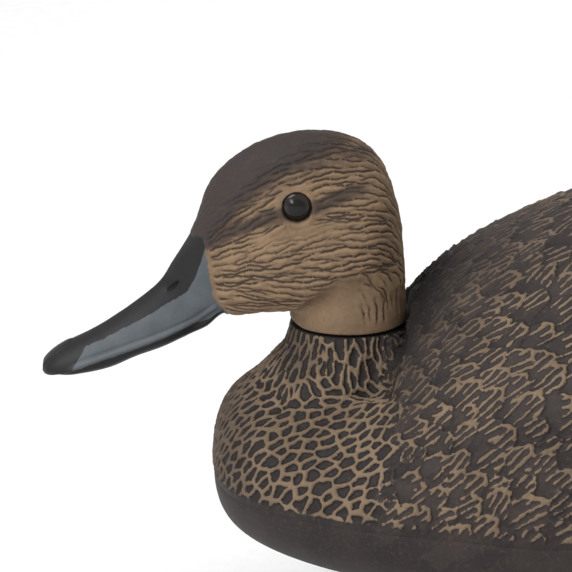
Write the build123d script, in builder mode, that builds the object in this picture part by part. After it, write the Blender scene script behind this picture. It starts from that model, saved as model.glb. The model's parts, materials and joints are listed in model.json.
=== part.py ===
from build123d import *

import os
from dataclasses import dataclass, replace

# Floating duck decoy: a resting hen with a hollow moulded body, a weighted keel, and a head that turns on a
# sprung bolt in the neck.
#
# Millimetres, +Z up. The bill points along -Y and the tail along +Y. The origin is on the keel's flat
# underside, at the middle of its length. Body and head are set out from the neck: their stations give y from
# the swivel axis, and the head's heights are given from the collar plane.

os.makedirs("parts", exist_ok=True)

# ------------------------------------------------------------------ driving dimensions
NECK_Y = -140.0  # the swivel axis
COLLAR_Z = 118.0  # the plane where head and body meet
SEAM_Z = 68.0  # the waterline, where the two body shells meet
HULL_Z = 36.0  # the hull's flat underside
WALL = 3.0  # body shells
HEAD_WALL = 2.6
COLLAR_GAP = 0.8  # the fine line between head and body
NECK_R = 19.3  # the round neck, in the head and in the body below it
SEAT_R = 20.4  # the round pocket that the nape turns in
SLEEVE_R = 24.0  # outside of the wall around that pocket
NECK_BORE_R = 16.0
FLANGE_WIDTH = 9.0  # the bonded flange inside the seam
FLANGE_THICK = 3.0
EYE_R = 5.0
EYE_Y, EYE_Z = -16.9, 43.1  # from the swivel axis and the collar plane
EYE_SOCKET_X = 12.6  # bottom of the eye socket
BOLT_R = 4.0  # M8
HEX_R = 6.5  # half of the 13 mm across the flats of its head and nut
BOLT_HEAD = 5.3
BOLT_REACH = 36.0  # from the collar plane down
DECK_THICK = 3.6  # the floor of the body's neck
RECESS_R, RECESS_DEEP = 15.0, 2.4  # for the friction washer, in the deck's top
BUSH_R, BUSH_FLANGE = 5.98, 1.5
BUSH_SEAL = 1.0
PLUG_HEIGHT, PLUG_FLOOR = 13.0, 4.0
WASHER_R, WASHER_THICK = 8.0, 1.6
WIRE_R, COIL_R, COILS = 0.8, 6.2, 5
KEEL_LENGTH = 176.0
KEEL_WIDTH = 24.0
KEEL_FLANGE = 46.0
KEEL_FLANGE_THICK = 4.0
FRONT_TAB_Z, FRONT_TAB_R, FRONT_HOLE_R = 23.0, 8.0, 3.0
REAR_TAB_Z, REAR_TAB_R, REAR_HOLE_R = 26.0, 5.8, 2.5
TAB_THICK = 8.0
GASKET = 1.5
BALLAST_R, BALLAST_LENGTH, BALLAST_Z = 7.0, 150.0, 11.0
CAP_RIM_R, CAP_RIM, CAP_RIB = 8.8, 2.2, 1.2
DRAIN_Y, DRAIN_Z, DRAIN_R = 104.0, 51.0, 3.5
DRAIN_BOSS_R, DRAIN_RIM_R, DRAIN_RIM = 8.0, 6.5, 1.8
SCREW_X, SCREW_SPACING = 16.5, 66.0
SCREW_R, SCREW_REACH = 1.95, 16.0
SCREW_HEAD_R, SCREW_HEAD = 3.8, 2.4
SCREW_HOLE_R, SCREW_PILOT_R, SCREW_BOSS_R = 2.2, 2.0, 5.0

neck_low = COLLAR_Z - COLLAR_GAP / 2  # top of the body's neck
neck_high = COLLAR_Z + COLLAR_GAP / 2  # bottom of the head's neck
deck_high = COLLAR_Z - RECESS_DEEP
deck_low = deck_high - DECK_THICK
bore_low = COLLAR_Z - 32  # the neck's bore opens into the body here


@dataclass
class Station:
    """A cross-section: y from the swivel axis, half-width, and heights of its top, widest line and bottom.

    crown and belly say how full the halves above and below the widest line are: 0.55 is an ellipse.
    """

    y: float
    half_width: float
    top: float
    side: float
    bottom: float
    crown: float = 0.55
    belly: float = 0.55


BODY = [
    Station(-44.6, 13, 77, 71, 65),
    Station(-43.2, 22, 83, 71, 59),
    Station(-39.5, 33, 92, 71, 52, 0.50),
    Station(-31.5, 45, 100, 70, 46, 0.47),
    Station(-15.0, 58, 104, 69, 41, 0.43, 0.60),
    Station(2.0, 67, 107, 69, 38.5, 0.43, 0.64),
    Station(14.0, 71.5, 119, 69, 37.2, 0.44, 0.66),
    Station(24.0, 74.5, 132, 69, 36.4, 0.46, 0.68),
    Station(42.0, 79, 147, 69, 36.3, 0.50, 0.70),
    Station(64.0, 82.5, 159, 69, 36.3, 0.54, 0.72),
    Station(96.0, 84, 165, 69, 36.3, 0.56, 0.72),
    Station(136.0, 83, 162, 69, 36.3, 0.56, 0.72),
    Station(176.0, 76, 152, 70, 36.6, 0.55, 0.70),
    Station(212.0, 63, 138, 73, 41, 0.54, 0.64),
    Station(242.0, 49, 126, 82, 54, 0.54, 0.58),
    Station(268.0, 39, 118.5, 94, 75, 0.56, 0.55),
    Station(292.0, 35, 116, 104, 94, 0.60, 0.58),
    Station(312.0, 33, 118, 112, 106, 0.66, 0.66),
    Station(322.0, 27, 120, 116, 112, 0.70, 0.70),
    Station(325.0, 19, 120, 117, 114, 0.70, 0.70),
]
CAVITY_END = 292.0  # the tail is solid behind this station

HEAD = [
    Station(-101.3, 4.5, -14, -16, -18.2),
    Station(-99.2, 7.5, -11.4, -16, -19),
    Station(-95.5, 9.2, -8.4, -15.6, -19.0, 0.50),
    Station(-89.0, 10.2, -4.9, -14.4, -18.0, 0.46),
    Station(-81.0, 10.4, -0.6, -12.2, -16.5, 0.42),
    Station(-73.0, 10.0, 4.8, -9.2, -13.9, 0.40),
    Station(-66.0, 9.6, 10.2, -6.0, -11.2, 0.42),
    Station(-59.0, 9.5, 17.6, -1.8, -7.7, 0.46),
    Station(-54.0, 9.8, 25.8, 3.0, -4.9, 0.50),
    Station(-50.0, 10.8, 34.4, 8.0, -2.4, 0.52),
    Station(-46.0, 12.6, 46.4, 13.0, 0.0, 0.50),
    Station(-41.0, 15.0, 53.4, 17.0, 2.4, 0.48, 0.60),
    Station(-33.0, 18.0, 59.8, 19.5, 3.8, 0.46, 0.62),
    Station(-22.0, 20.3, 64.3, 20.5, 5.0, 0.46, 0.62),
    Station(-9.0, 20.8, 65.6, 20.5, 5.4, 0.48, 0.60),
    Station(1.0, 20.0, 63.8, 20.0, 5.4, 0.52, 0.58),
    Station(8.0, 18.3, 59.6, 19.0, 5.4),
    Station(12.8, 15.4, 52.8, 18.0, 5.4),
    Station(16.6, 11.2, 42.0, 17.0, 6.0),
    Station(18.6, 6.0, 27.0, 15.5, 7.0),
]
BORE_TAPER = 2.0  # degrees, in the head's neck and on its plug
HEAD_CAVITY_START = -46.0  # the bill is solid in front of this station


def outline(station, datum=0.0, inset=0.0):
    """The closed face of a station, from four cubic curves. inset draws it that much smaller all round."""
    w = station.half_width - inset
    top = station.top - inset + datum
    bottom = station.bottom + inset + datum
    side = station.side + datum
    rise = station.crown * (top - side)
    drop = station.belly * (side - bottom)
    with BuildSketch(Plane.XZ.offset(-(station.y + NECK_Y))) as face:
        with BuildLine():
            Bezier((w, side), (w, side + rise), (station.crown * w, top), (0, top))
            Bezier((0, top), (-station.crown * w, top), (-w, side + rise), (-w, side))
            Bezier((-w, side), (-w, side - drop), (-station.belly * w, bottom), (0, bottom))
            Bezier((0, bottom), (station.belly * w, bottom), (w, side - drop), (w, side))
        make_face()
    return face.sketch


def pulled_in(stations, inset):
    """The stations moved towards the middle of their run by inset at its ends, for a wall there too."""
    first, last = stations[0].y, stations[-1].y
    return [replace(s, y=s.y + inset * (1 - 2 * (s.y - first) / (last - first))) for s in stations]


def skin(stations, datum=0.0, inset=0.0):
    """The faces to loft for a smooth skin through the stations."""
    return [outline(s, datum, inset) for s in pulled_in(stations, inset)]


def ellipse_on(y, x, z, half_width, half_height):
    """An upright ellipse across the body, y from the swivel axis."""
    with BuildSketch(Plane.XZ.offset(-(y + NECK_Y))) as face:
        with Locations((x, z)):
            Ellipse(half_width, half_height)
    return face.sketch


def disc(z, radius):
    """A round face about the swivel axis."""
    with BuildSketch(Plane((0, NECK_Y, z))) as face:
        Circle(radius)
    return face.sketch


neck_plane = Plane((0, NECK_Y, 0), x_dir=(1, 0, 0), z_dir=(0, -1, 0))  # upright through the swivel axis
neck_axis = Axis((0, NECK_Y, 0), (0, 0, 1))

# ------------------------------------------------------------------ body shells
cavity_stations = [s for s in BODY if s.y <= CAVITY_END]

# the body's outer form: hull, breast and back in one skin, the flared neck and the folded wing tips
with BuildPart() as outer_form:
    loft(skin(BODY))
    with BuildSketch(neck_plane):
        with BuildLine():
            Polyline((36.5, COLLAR_Z - 31), (0, COLLAR_Z - 31), (0, neck_low), (NECK_R, neck_low))
            Line((NECK_R, neck_low), (NECK_R, COLLAR_Z - 3))
            Spline(
                (NECK_R, COLLAR_Z - 3),
                (20.6, COLLAR_Z - 7.5),
                (25.7, COLLAR_Z - 12.4),
                (31.5, COLLAR_Z - 18.5),
                (36.5, COLLAR_Z - 31),
                tangents=((0, -1), (0.3, -1)),
            )
        make_face()
    revolve(axis=neck_axis)
    for side in (-1, 1):
        loft(
            [
                ellipse_on(192, side * 32, 117, 14, 7),
                ellipse_on(220, side * 30, 123, 13.5, 7),
                ellipse_on(250, side * 22, 122.5, 9, 4.8),
                ellipse_on(274, side * 16, 121.5, 5, 2.6),
                ellipse_on(287, side * 13.5, 121.5, 1.8, 1.2),
            ]
        )

# inner edge of the seam flange, down one side
flange_edge = [
    (s.half_width - WALL - FLANGE_WIDTH, s.y + NECK_Y + 6) for s in BODY if -35 < s.y < 215
]
with BuildPart() as seam_flange:
    loft(skin(cavity_stations, inset=WALL - 0.5))
    split(bisect_by=Plane.XY.offset(SEAM_Z + FLANGE_THICK), keep=Keep.BOTTOM)
    split(bisect_by=Plane.XY.offset(SEAM_Z - FLANGE_THICK), keep=Keep.TOP)
    with BuildSketch(Plane.XY.offset(SEAM_Z - 2 * FLANGE_THICK)):
        with BuildLine():
            Spline(*flange_edge)
            mirror(about=Plane.YZ)
            Line(flange_edge[0], (-flange_edge[0][0], flange_edge[0][1]))
            Line(flange_edge[-1], (-flange_edge[-1][0], flange_edge[-1][1]))
        make_face()
    extrude(amount=4 * FLANGE_THICK, mode=Mode.SUBTRACT)

# the wall around the nape's pocket, as far up as the back reaches
with BuildPart() as neck_sleeve:
    add(outer_form.part)
    extrude(disc(COLLAR_Z - 20, SLEEVE_R), amount=60, mode=Mode.INTERSECT)

with BuildPart() as shell:
    add(outer_form.part)
    loft(skin(cavity_stations, inset=WALL), mode=Mode.SUBTRACT)
    with BuildSketch(neck_plane):
        Polygon(
            (0, COLLAR_Z - 12),
            (NECK_BORE_R, COLLAR_Z - 12),
            (21, COLLAR_Z - 18),
            (36, bore_low),
            (0, bore_low),
            align=None,
        )
    revolve(axis=neck_axis, mode=Mode.SUBTRACT)
    add(neck_sleeve.part)
    add(seam_flange.part)
    # the pocket above the collar, and below it the deck that carries the swivel
    extrude(disc(neck_low, SEAT_R), amount=60, mode=Mode.SUBTRACT)
    extrude(disc(deck_high, RECESS_R), amount=RECESS_DEEP, mode=Mode.SUBTRACT)
    extrude(disc(bore_low, NECK_BORE_R), amount=deck_low - bore_low, mode=Mode.SUBTRACT)
    extrude(disc(deck_low - 2, BUSH_R + 0.02), amount=DECK_THICK + 4.4, mode=Mode.SUBTRACT)

with BuildPart() as upper_body:
    add(shell.part)
    split(bisect_by=Plane.XY.offset(SEAM_Z), keep=Keep.TOP)
upper_body.part.label = "upper_body"
export_step(upper_body.part, "parts/upper_body.step")

screw_points = [(x, y) for x in (-SCREW_X, SCREW_X) for y in (-SCREW_SPACING, 0, SCREW_SPACING)]

with BuildPart() as hull:
    add(shell.part)
    split(bisect_by=Plane.XY.offset(SEAM_Z), keep=Keep.BOTTOM)
    # flat pad for the keel, and the bosses that its screws bite in
    with BuildSketch(Plane.XY.offset(HULL_Z)):
        RectangleRounded(KEEL_FLANGE + 4, KEEL_LENGTH + 4, 12)
    extrude(amount=8)
    with BuildSketch(Plane.XY.offset(HULL_Z + 6)):
        with Locations(*screw_points):
            Circle(SCREW_BOSS_R)
    extrude(amount=9)
    with BuildSketch(Plane.XY.offset(HULL_Z)):
        with Locations(*screw_points):
            Circle(SCREW_PILOT_R)
    extrude(amount=12, mode=Mode.SUBTRACT)
    # drain boss under the stern, bored for its plug
    with BuildSketch(Plane.XY.offset(DRAIN_Z)):
        with Locations((0, DRAIN_Y)):
            Circle(DRAIN_BOSS_R)
    extrude(amount=13)
    with BuildSketch(Plane.XY.offset(DRAIN_Z)):
        with Locations((0, DRAIN_Y)):
            Circle(DRAIN_R)
    extrude(amount=16, mode=Mode.SUBTRACT)
hull.part.label = "hull"
export_step(hull.part, "parts/hull.step")

# push-in plug with a rim under the boss and a finger tab
with BuildPart() as drain_plug:
    with BuildSketch(Plane.XY.offset(DRAIN_Z)):
        with Locations((0, DRAIN_Y)):
            Circle(DRAIN_R - 0.05)
    extrude(amount=10)
    with BuildSketch(Plane.XY.offset(DRAIN_Z)):
        with Locations((0, DRAIN_Y)):
            Circle(DRAIN_RIM_R)
    extrude(amount=-DRAIN_RIM)
    with BuildSketch(Plane.XY.offset(DRAIN_Z - DRAIN_RIM)):
        with Locations((0, DRAIN_Y)):
            RectangleRounded(8, 2.6, 1.2)
    extrude(amount=-3.6)
drain_plug.part.label = "drain_plug"
export_step(drain_plug.part, "parts/drain_plug.step")

# ------------------------------------------------------------------ keel
flange_low = HULL_Z - GASKET - KEEL_FLANGE_THICK
tab_front, tab_rear = -KEEL_LENGTH / 2 - 3, KEEL_LENGTH / 2 + 3

with BuildPart() as keel:
    with BuildSketch(Plane.XY):
        RectangleRounded(KEEL_WIDTH - 4, KEEL_LENGTH - 12, 9)
    with BuildSketch(Plane.XY.offset(8)):
        RectangleRounded(KEEL_WIDTH, KEEL_LENGTH - 6, 11)
    with BuildSketch(Plane.XY.offset(flange_low)):
        RectangleRounded(KEEL_WIDTH - 8, KEEL_LENGTH - 10, 7.5)
    loft(ruled=True)
    with BuildSketch(Plane.XY.offset(flange_low)):
        RectangleRounded(KEEL_FLANGE, KEEL_LENGTH, 10)
    extrude(amount=KEEL_FLANGE_THICK)
    fillet(keel.edges().filter_by(Plane.XY).group_by(Axis.Z)[0], 1.5)
    # line tabs, front and rear, under the flange
    with BuildSketch(Plane.YZ.offset(-TAB_THICK / 2)):
        with Locations((tab_front, FRONT_TAB_Z)):
            Circle(FRONT_TAB_R)
        with Locations((tab_front / 2 - 15, FRONT_TAB_Z)):
            Rectangle(-tab_front - 30, 2 * FRONT_TAB_R)
        with Locations((tab_rear, REAR_TAB_Z)):
            Circle(REAR_TAB_R)
        with Locations((tab_rear / 2 + 15, REAR_TAB_Z)):
            Rectangle(tab_rear - 30, 2 * REAR_TAB_R)
    extrude(amount=TAB_THICK)
    with BuildSketch(Plane.YZ.offset(-TAB_THICK)):
        with Locations((tab_front, FRONT_TAB_Z)):
            Circle(FRONT_HOLE_R)
        with Locations((tab_rear, REAR_TAB_Z)):
            Circle(REAR_HOLE_R)
    extrude(amount=2 * TAB_THICK, mode=Mode.SUBTRACT)
    with BuildSketch(Plane.XY.offset(flange_low)):
        with Locations(*screw_points):
            Circle(SCREW_HOLE_R)
    extrude(amount=KEEL_FLANGE_THICK, mode=Mode.SUBTRACT)
    # ballast bore, open at the rear, where the cap closes it
    with BuildSketch(Plane.XZ.offset(-(KEEL_LENGTH / 2 + 5))):
        with Locations((0, BALLAST_Z)):
            Circle(BALLAST_R + 0.2)
    extrude(amount=BALLAST_LENGTH + 24, mode=Mode.SUBTRACT)
keel.part.label = "keel"
export_step(keel.part, "parts/keel.step")

with BuildPart() as keel_gasket:
    with BuildSketch(Plane.XY.offset(HULL_Z - GASKET)):
        RectangleRounded(KEEL_FLANGE, KEEL_LENGTH, 10)
        with Locations(*screw_points):
            Circle(SCREW_HOLE_R, mode=Mode.SUBTRACT)
    extrude(amount=GASKET)
keel_gasket.part.label = "keel_gasket"
export_step(keel_gasket.part, "parts/keel_gasket.step")

with BuildPart() as keel_screws:
    with BuildSketch(Plane.XY.offset(flange_low)):
        with Locations(*screw_points):
            Circle(SCREW_R)
    extrude(amount=SCREW_REACH)
    with BuildSketch(Plane.XY.offset(flange_low)):
        with Locations(*screw_points):
            Circle(SCREW_HEAD_R)
    extrude(amount=-SCREW_HEAD)
    fillet(keel_screws.edges().group_by(Axis.Z)[0], 1.0)
    with BuildSketch(Plane.XY.offset(flange_low - SCREW_HEAD)):
        with Locations(*screw_points):
            Rectangle(3.6, 0.8)
            Rectangle(0.8, 3.6)
    extrude(amount=1.4, mode=Mode.SUBTRACT)
keel_screws.part.label = "keel_screws"
export_step(keel_screws.part, "parts/keel_screws.step")

ballast_rear = KEEL_LENGTH / 2 - 17.0
with BuildPart() as ballast_bar:
    with BuildSketch(Plane.XZ.offset(-ballast_rear)):
        with Locations((0, BALLAST_Z)):
            Circle(BALLAST_R)
    extrude(amount=BALLAST_LENGTH)
    chamfer(ballast_bar.edges().filter_by(GeomType.CIRCLE), 0.8)
ballast_bar.part.label = "ballast_bar"
export_step(ballast_bar.part, "parts/ballast_bar.step")

# push-in cap: two sealing ribs on a plug, a rim outside the keel, and a pull tab
cap_face = KEEL_LENGTH / 2 - 3.0
with BuildPart() as keel_cap:
    with BuildSketch(Plane.XZ.offset(-cap_face)):
        with Locations((0, BALLAST_Z)):
            Circle(BALLAST_R - 0.1)
    extrude(amount=12)
    with BuildSketch(Plane.XZ.offset(-cap_face)):
        with Locations((0, BALLAST_Z)):
            Circle(CAP_RIM_R)
    extrude(amount=-CAP_RIM)
    for rib_y in (cap_face - 3, cap_face - 7):
        with BuildSketch(Plane.XZ.offset(-rib_y)):
            with Locations((0, BALLAST_Z)):
                Circle(BALLAST_R + 0.15)
        extrude(amount=CAP_RIB)
    with BuildSketch(Plane.XZ.offset(-(cap_face + CAP_RIM))):
        with Locations((0, BALLAST_Z)):
            RectangleRounded(3.2, 11, 1.4)
    extrude(amount=-5)
keel_cap.part.label = "keel_cap"
export_step(keel_cap.part, "parts/keel_cap.step")

# ------------------------------------------------------------------ swivel, from the deck in the body's neck
bush_low = deck_low - BUSH_SEAL - BUSH_FLANGE

with BuildPart() as neck_bush:
    extrude(disc(bush_low, 10), amount=BUSH_FLANGE)
    extrude(disc(bush_low, BUSH_R), amount=deck_high - bush_low)
    extrude(disc(bush_low, BOLT_R + 0.05), amount=deck_high - bush_low, mode=Mode.SUBTRACT)
neck_bush.part.label = "neck_bush"
export_step(neck_bush.part, "parts/neck_bush.step")

# flat ring that keeps water out between the deck and the bush's flange
with BuildPart() as bush_seal:
    extrude(disc(deck_low - BUSH_SEAL, 9.6), amount=BUSH_SEAL)
    extrude(disc(deck_low - BUSH_SEAL, BUSH_R + 0.07), amount=BUSH_SEAL, mode=Mode.SUBTRACT)
bush_seal.part.label = "bush_seal"
export_step(bush_seal.part, "parts/bush_seal.step")

with BuildPart() as friction_washer:
    with BuildSketch(Plane((0, NECK_Y, deck_high))):
        Circle(RECESS_R - 0.2)
        Circle(BUSH_R + 0.22, mode=Mode.SUBTRACT)
    extrude(amount=neck_high - deck_high)
friction_washer.part.label = "friction_washer"
export_step(friction_washer.part, "parts/friction_washer.step")

# ------------------------------------------------------------------ head
head_stations = [s for s in HEAD if s.y >= HEAD_CAVITY_START]

with BuildPart() as head_form:
    loft(skin(HEAD, datum=COLLAR_Z))
    extrude(disc(neck_high, NECK_R), amount=22, taper=3)

# the solid stubs behind the eyes, trimmed to the head's form
with BuildPart() as eye_stubs:
    with BuildSketch(Plane.YZ.offset(-30)):
        with Locations((NECK_Y + EYE_Y, COLLAR_Z + EYE_Z)):
            Circle(EYE_R + 2.3)
    extrude(amount=60)
    Box(18, 900, 900, mode=Mode.SUBTRACT)
    add(head_form.part, mode=Mode.INTERSECT)

with BuildPart() as head_cavity:
    loft(skin(head_stations, datum=COLLAR_Z, inset=HEAD_WALL))
    extrude(disc(neck_high, NECK_R - 2.5), amount=15.3, taper=BORE_TAPER)

with BuildPart() as head:
    add(head_form.part)
    add(head_cavity.part, mode=Mode.SUBTRACT)
    add(eye_stubs.part)
    for side in (-1, 1):
        with BuildSketch(Plane.YZ.offset(side * EYE_SOCKET_X)):
            with Locations((NECK_Y + EYE_Y, COLLAR_Z + EYE_Z)):
                Circle(EYE_R + 0.05)
        extrude(amount=side * 12, mode=Mode.SUBTRACT)
head.part.label = "head"
export_step(head.part, "parts/head.step")

for side, name in ((1, "left_eye"), (-1, "right_eye")):
    with BuildPart() as eye:
        with BuildSketch(Plane((0, NECK_Y + EYE_Y, COLLAR_Z + EYE_Z))):
            with BuildLine():
                Polyline((side * 14.6, EYE_R), (side * EYE_SOCKET_X, EYE_R))
                Polyline((side * EYE_SOCKET_X, EYE_R), (side * EYE_SOCKET_X, 0), (side * 17.4, 0))
                Spline(
                    (side * 17.4, 0),
                    (side * 16.6, 0.68 * EYE_R),
                    (side * 14.6, EYE_R),
                    tangents=((0, 1), (-side, 0)),
                )
            make_face()
        revolve(axis=Axis((0, NECK_Y + EYE_Y, COLLAR_Z + EYE_Z), (1, 0, 0)))
    eye.part.label = name
    export_step(eye.part, f"parts/{name}.step")

plug_floor = neck_high + PLUG_FLOOR
with BuildPart() as neck_plug:
    extrude(disc(neck_high, NECK_R - 2.6), amount=PLUG_HEIGHT, taper=BORE_TAPER)
    extrude(disc(plug_floor, NECK_R - 4.8), amount=PLUG_HEIGHT, mode=Mode.SUBTRACT)
    extrude(disc(neck_high, BOLT_R + 0.1), amount=PLUG_HEIGHT, mode=Mode.SUBTRACT)
neck_plug.part.label = "neck_plug"
export_step(neck_plug.part, "parts/neck_plug.step")

with BuildPart() as swivel_bolt:
    extrude(disc(COLLAR_Z - BOLT_REACH, BOLT_R), amount=plug_floor - COLLAR_Z + BOLT_REACH)
    chamfer(swivel_bolt.edges().group_by(Axis.Z)[0], 0.8)
    with BuildSketch(Plane((0, NECK_Y, plug_floor))):
        RegularPolygon(HEX_R, 6, major_radius=False)
    extrude(amount=BOLT_HEAD)
swivel_bolt.part.label = "swivel_bolt"
export_step(swivel_bolt.part, "parts/swivel_bolt.step")

# a washer at each end of the spring
washer_top, seat_top = bush_low - 0.1, COLLAR_Z - 24.0
for name, top in (("flat_washer", washer_top), ("spring_seat", seat_top)):
    with BuildPart() as washer:
        extrude(disc(top - WASHER_THICK, WASHER_R), amount=WASHER_THICK)
        extrude(disc(top - WASHER_THICK, BOLT_R + 0.2), amount=WASHER_THICK, mode=Mode.SUBTRACT)
    washer.part.label = name
    export_step(washer.part, f"parts/{name}.step")

# compression spring between the two washers
spring_top = washer_top - WASHER_THICK - WIRE_R - 0.05
spring_low = seat_top + WIRE_R + 0.05
with BuildPart() as swivel_spring:
    with BuildLine():
        coil = Helix(
            pitch=(spring_top - spring_low) / COILS,
            height=spring_top - spring_low,
            radius=COIL_R,
            center=(0, NECK_Y, spring_low),
        )
    with BuildSketch(Plane(origin=coil @ 0, z_dir=coil % 0)):
        Circle(WIRE_R)
    sweep(is_frenet=True)
swivel_spring.part.label = "swivel_spring"
export_step(swivel_spring.part, "parts/swivel_spring.step")

# the nut's lower rim grips the thread
nut_top = seat_top - WASHER_THICK
with BuildPart() as lock_nut:
    with BuildSketch(Plane((0, NECK_Y, nut_top - 6.5))):
        RegularPolygon(HEX_R, 6, major_radius=False)
    extrude(amount=6.5)
    extrude(disc(nut_top - 8.0, 5.6), amount=1.5)
    extrude(disc(nut_top - 8.0, BOLT_R), amount=8, mode=Mode.SUBTRACT)
lock_nut.part.label = "lock_nut"
export_step(lock_nut.part, "parts/lock_nut.step")
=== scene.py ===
import json
import math

import bmesh
import bpy
import numpy as np
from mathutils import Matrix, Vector
from mathutils.kdtree import KDTree


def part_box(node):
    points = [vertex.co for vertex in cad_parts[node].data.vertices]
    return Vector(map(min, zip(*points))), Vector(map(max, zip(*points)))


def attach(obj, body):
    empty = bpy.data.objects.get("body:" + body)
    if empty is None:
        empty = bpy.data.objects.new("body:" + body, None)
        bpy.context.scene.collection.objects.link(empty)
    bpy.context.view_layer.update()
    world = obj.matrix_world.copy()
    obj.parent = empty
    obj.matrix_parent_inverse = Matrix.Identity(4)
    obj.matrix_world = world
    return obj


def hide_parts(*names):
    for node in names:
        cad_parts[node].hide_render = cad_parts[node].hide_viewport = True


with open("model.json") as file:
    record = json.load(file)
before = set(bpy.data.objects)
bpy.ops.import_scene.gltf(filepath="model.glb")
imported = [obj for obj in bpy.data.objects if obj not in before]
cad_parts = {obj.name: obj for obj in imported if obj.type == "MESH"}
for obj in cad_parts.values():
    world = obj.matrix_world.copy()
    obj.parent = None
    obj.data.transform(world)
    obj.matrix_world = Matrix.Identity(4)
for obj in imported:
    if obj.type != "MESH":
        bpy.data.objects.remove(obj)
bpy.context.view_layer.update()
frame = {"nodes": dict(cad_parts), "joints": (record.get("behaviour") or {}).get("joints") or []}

# Lengths in this script are millimetres, and places are taken from the swivel: its axis is x = y = 0 and the
# collar plane, where head and body meet, is z = 0. The bill points along -y and the duck's left is +x.
MM = 0.001
swivel = next(j for j in frame["joints"] if j["name"] == "head_swivel")
NECK = np.array(swivel["pos_m"]) / MM
SEAM_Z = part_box("hull")[1].z / MM - NECK[2]
HULL_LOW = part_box("hull")[0].z / MM - NECK[2]
HEAD_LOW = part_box("head")[0].z / MM - NECK[2]
EYE = np.array([sum(c) / 2 for c in zip(*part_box("left_eye"))]) / MM - NECK
FAR = 9.0  # a distance beyond all that matter in the plumage
STRIDE = 0.45  # from one place on a traced line to the next


# ---- small helpers
def ramp(values, low, high):
    """0 below low, 1 above high, and smooth between. low may be the larger one."""
    t = np.clip((values - low) / (high - low), 0, 1)
    return t * t * (3 - 2 * t)


def bell(values, middle, width):
    """1 at the middle, and down to nearly 0 at twice the width from it."""
    return np.exp(-(((values - middle) / width) ** 2))


def unit(vectors):
    return vectors / np.maximum(np.linalg.norm(vectors, axis=-1, keepdims=True), 1e-9)


def waves(points, scale, seed, octaves=3):
    """A smooth random field of about -1 to 1 over the points, with features of about scale mm."""
    random = np.random.default_rng(seed)
    total = np.zeros(len(points))
    for octave in range(octaves):
        size = scale / 1.9**octave
        weight = 0.6**octave
        for _ in range(5):
            direction = unit(random.normal(size=3)) * (2 * math.pi / size) * random.uniform(0.6, 1.2)
            total += weight * np.sin(points @ direction + random.uniform(0, 2 * math.pi))
    return total / 4.2


class Skin:
    """A piece's dense mesh as arrays: points, normals and edges."""

    def __init__(self, piece):
        self.piece = piece
        mesh = piece.data
        self.points = np.zeros(len(mesh.vertices) * 3)
        mesh.vertices.foreach_get("co", self.points)
        self.points = self.points.reshape(-1, 3) / MM - NECK
        edges = np.zeros(len(mesh.edges) * 2, np.int64)
        mesh.edges.foreach_get("vertices", edges)
        self.starts, self.ends = edges.reshape(-1, 2).T
        self.degree = np.bincount(edges, minlength=len(self.points)).astype(float)
        self.write()

    def write(self):
        """Puts the points into the mesh, and works the normals out again."""
        mesh = self.piece.data
        mesh.vertices.foreach_set("co", ((self.points + NECK) * MM).ravel())
        mesh.update()
        normals = np.zeros(len(mesh.vertices) * 3)
        mesh.vertex_normals.foreach_get("vector", normals)
        self.normals = normals.reshape(-1, 3)

    def blurred(self, values, times=1):
        """values averaged with their neighbours' that many times."""
        for _ in range(times):
            total = np.bincount(self.starts, values[self.ends], len(values))
            total += np.bincount(self.ends, values[self.starts], len(values))
            values = 0.4 * values + 0.6 * total / self.degree
        return values

    def smooth(self, amount, times):
        """Relaxes the form where amount, 0 to 1 for each point, says so."""
        for _ in range(times):
            for axis in range(3):
                moved = self.blurred(self.points[:, axis])
                self.points[:, axis] += (moved - self.points[:, axis]) * amount
        self.write()

    def push(self, distance):
        """Moves the points along their normals."""
        self.points += self.normals * distance[:, None]
        self.write()

    def paint(self, **masks):
        """Stores masks that the materials read."""
        for name, values in masks.items():
            attribute = self.piece.data.attributes.new(name, "FLOAT", "POINT")
            attribute.data.foreach_set("value", values.astype(np.float32))


class Bins:
    """Finds the points near a place without looking at all of them."""

    def __init__(self, points, size=4.0):
        self.size = size
        self.low = points.min(0) - size
        cells = ((points - self.low) / size).astype(np.int64)
        self.shape = cells.max(0) + 2
        keys = self.key(*cells.T)
        self.order = np.argsort(keys, kind="stable")
        self.starts = np.searchsorted(keys[self.order], np.arange(np.prod(self.shape) + 1))

    def key(self, x, y, z):
        return (z * self.shape[1] + y) * self.shape[0] + x

    def near(self, place, reach):
        first = np.maximum(((place - reach - self.low) / self.size).astype(int), 0)
        last = np.minimum(((place + reach - self.low) / self.size).astype(int), self.shape - 1)
        found = []
        for z in range(first[2], last[2] + 1):
            for y in range(first[1], last[1] + 1):
                begin = self.starts[self.key(first[0], y, z)]
                end = self.starts[self.key(last[0], y, z) + 1]
                found.append(self.order[begin:end])
        return np.concatenate(found)


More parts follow.
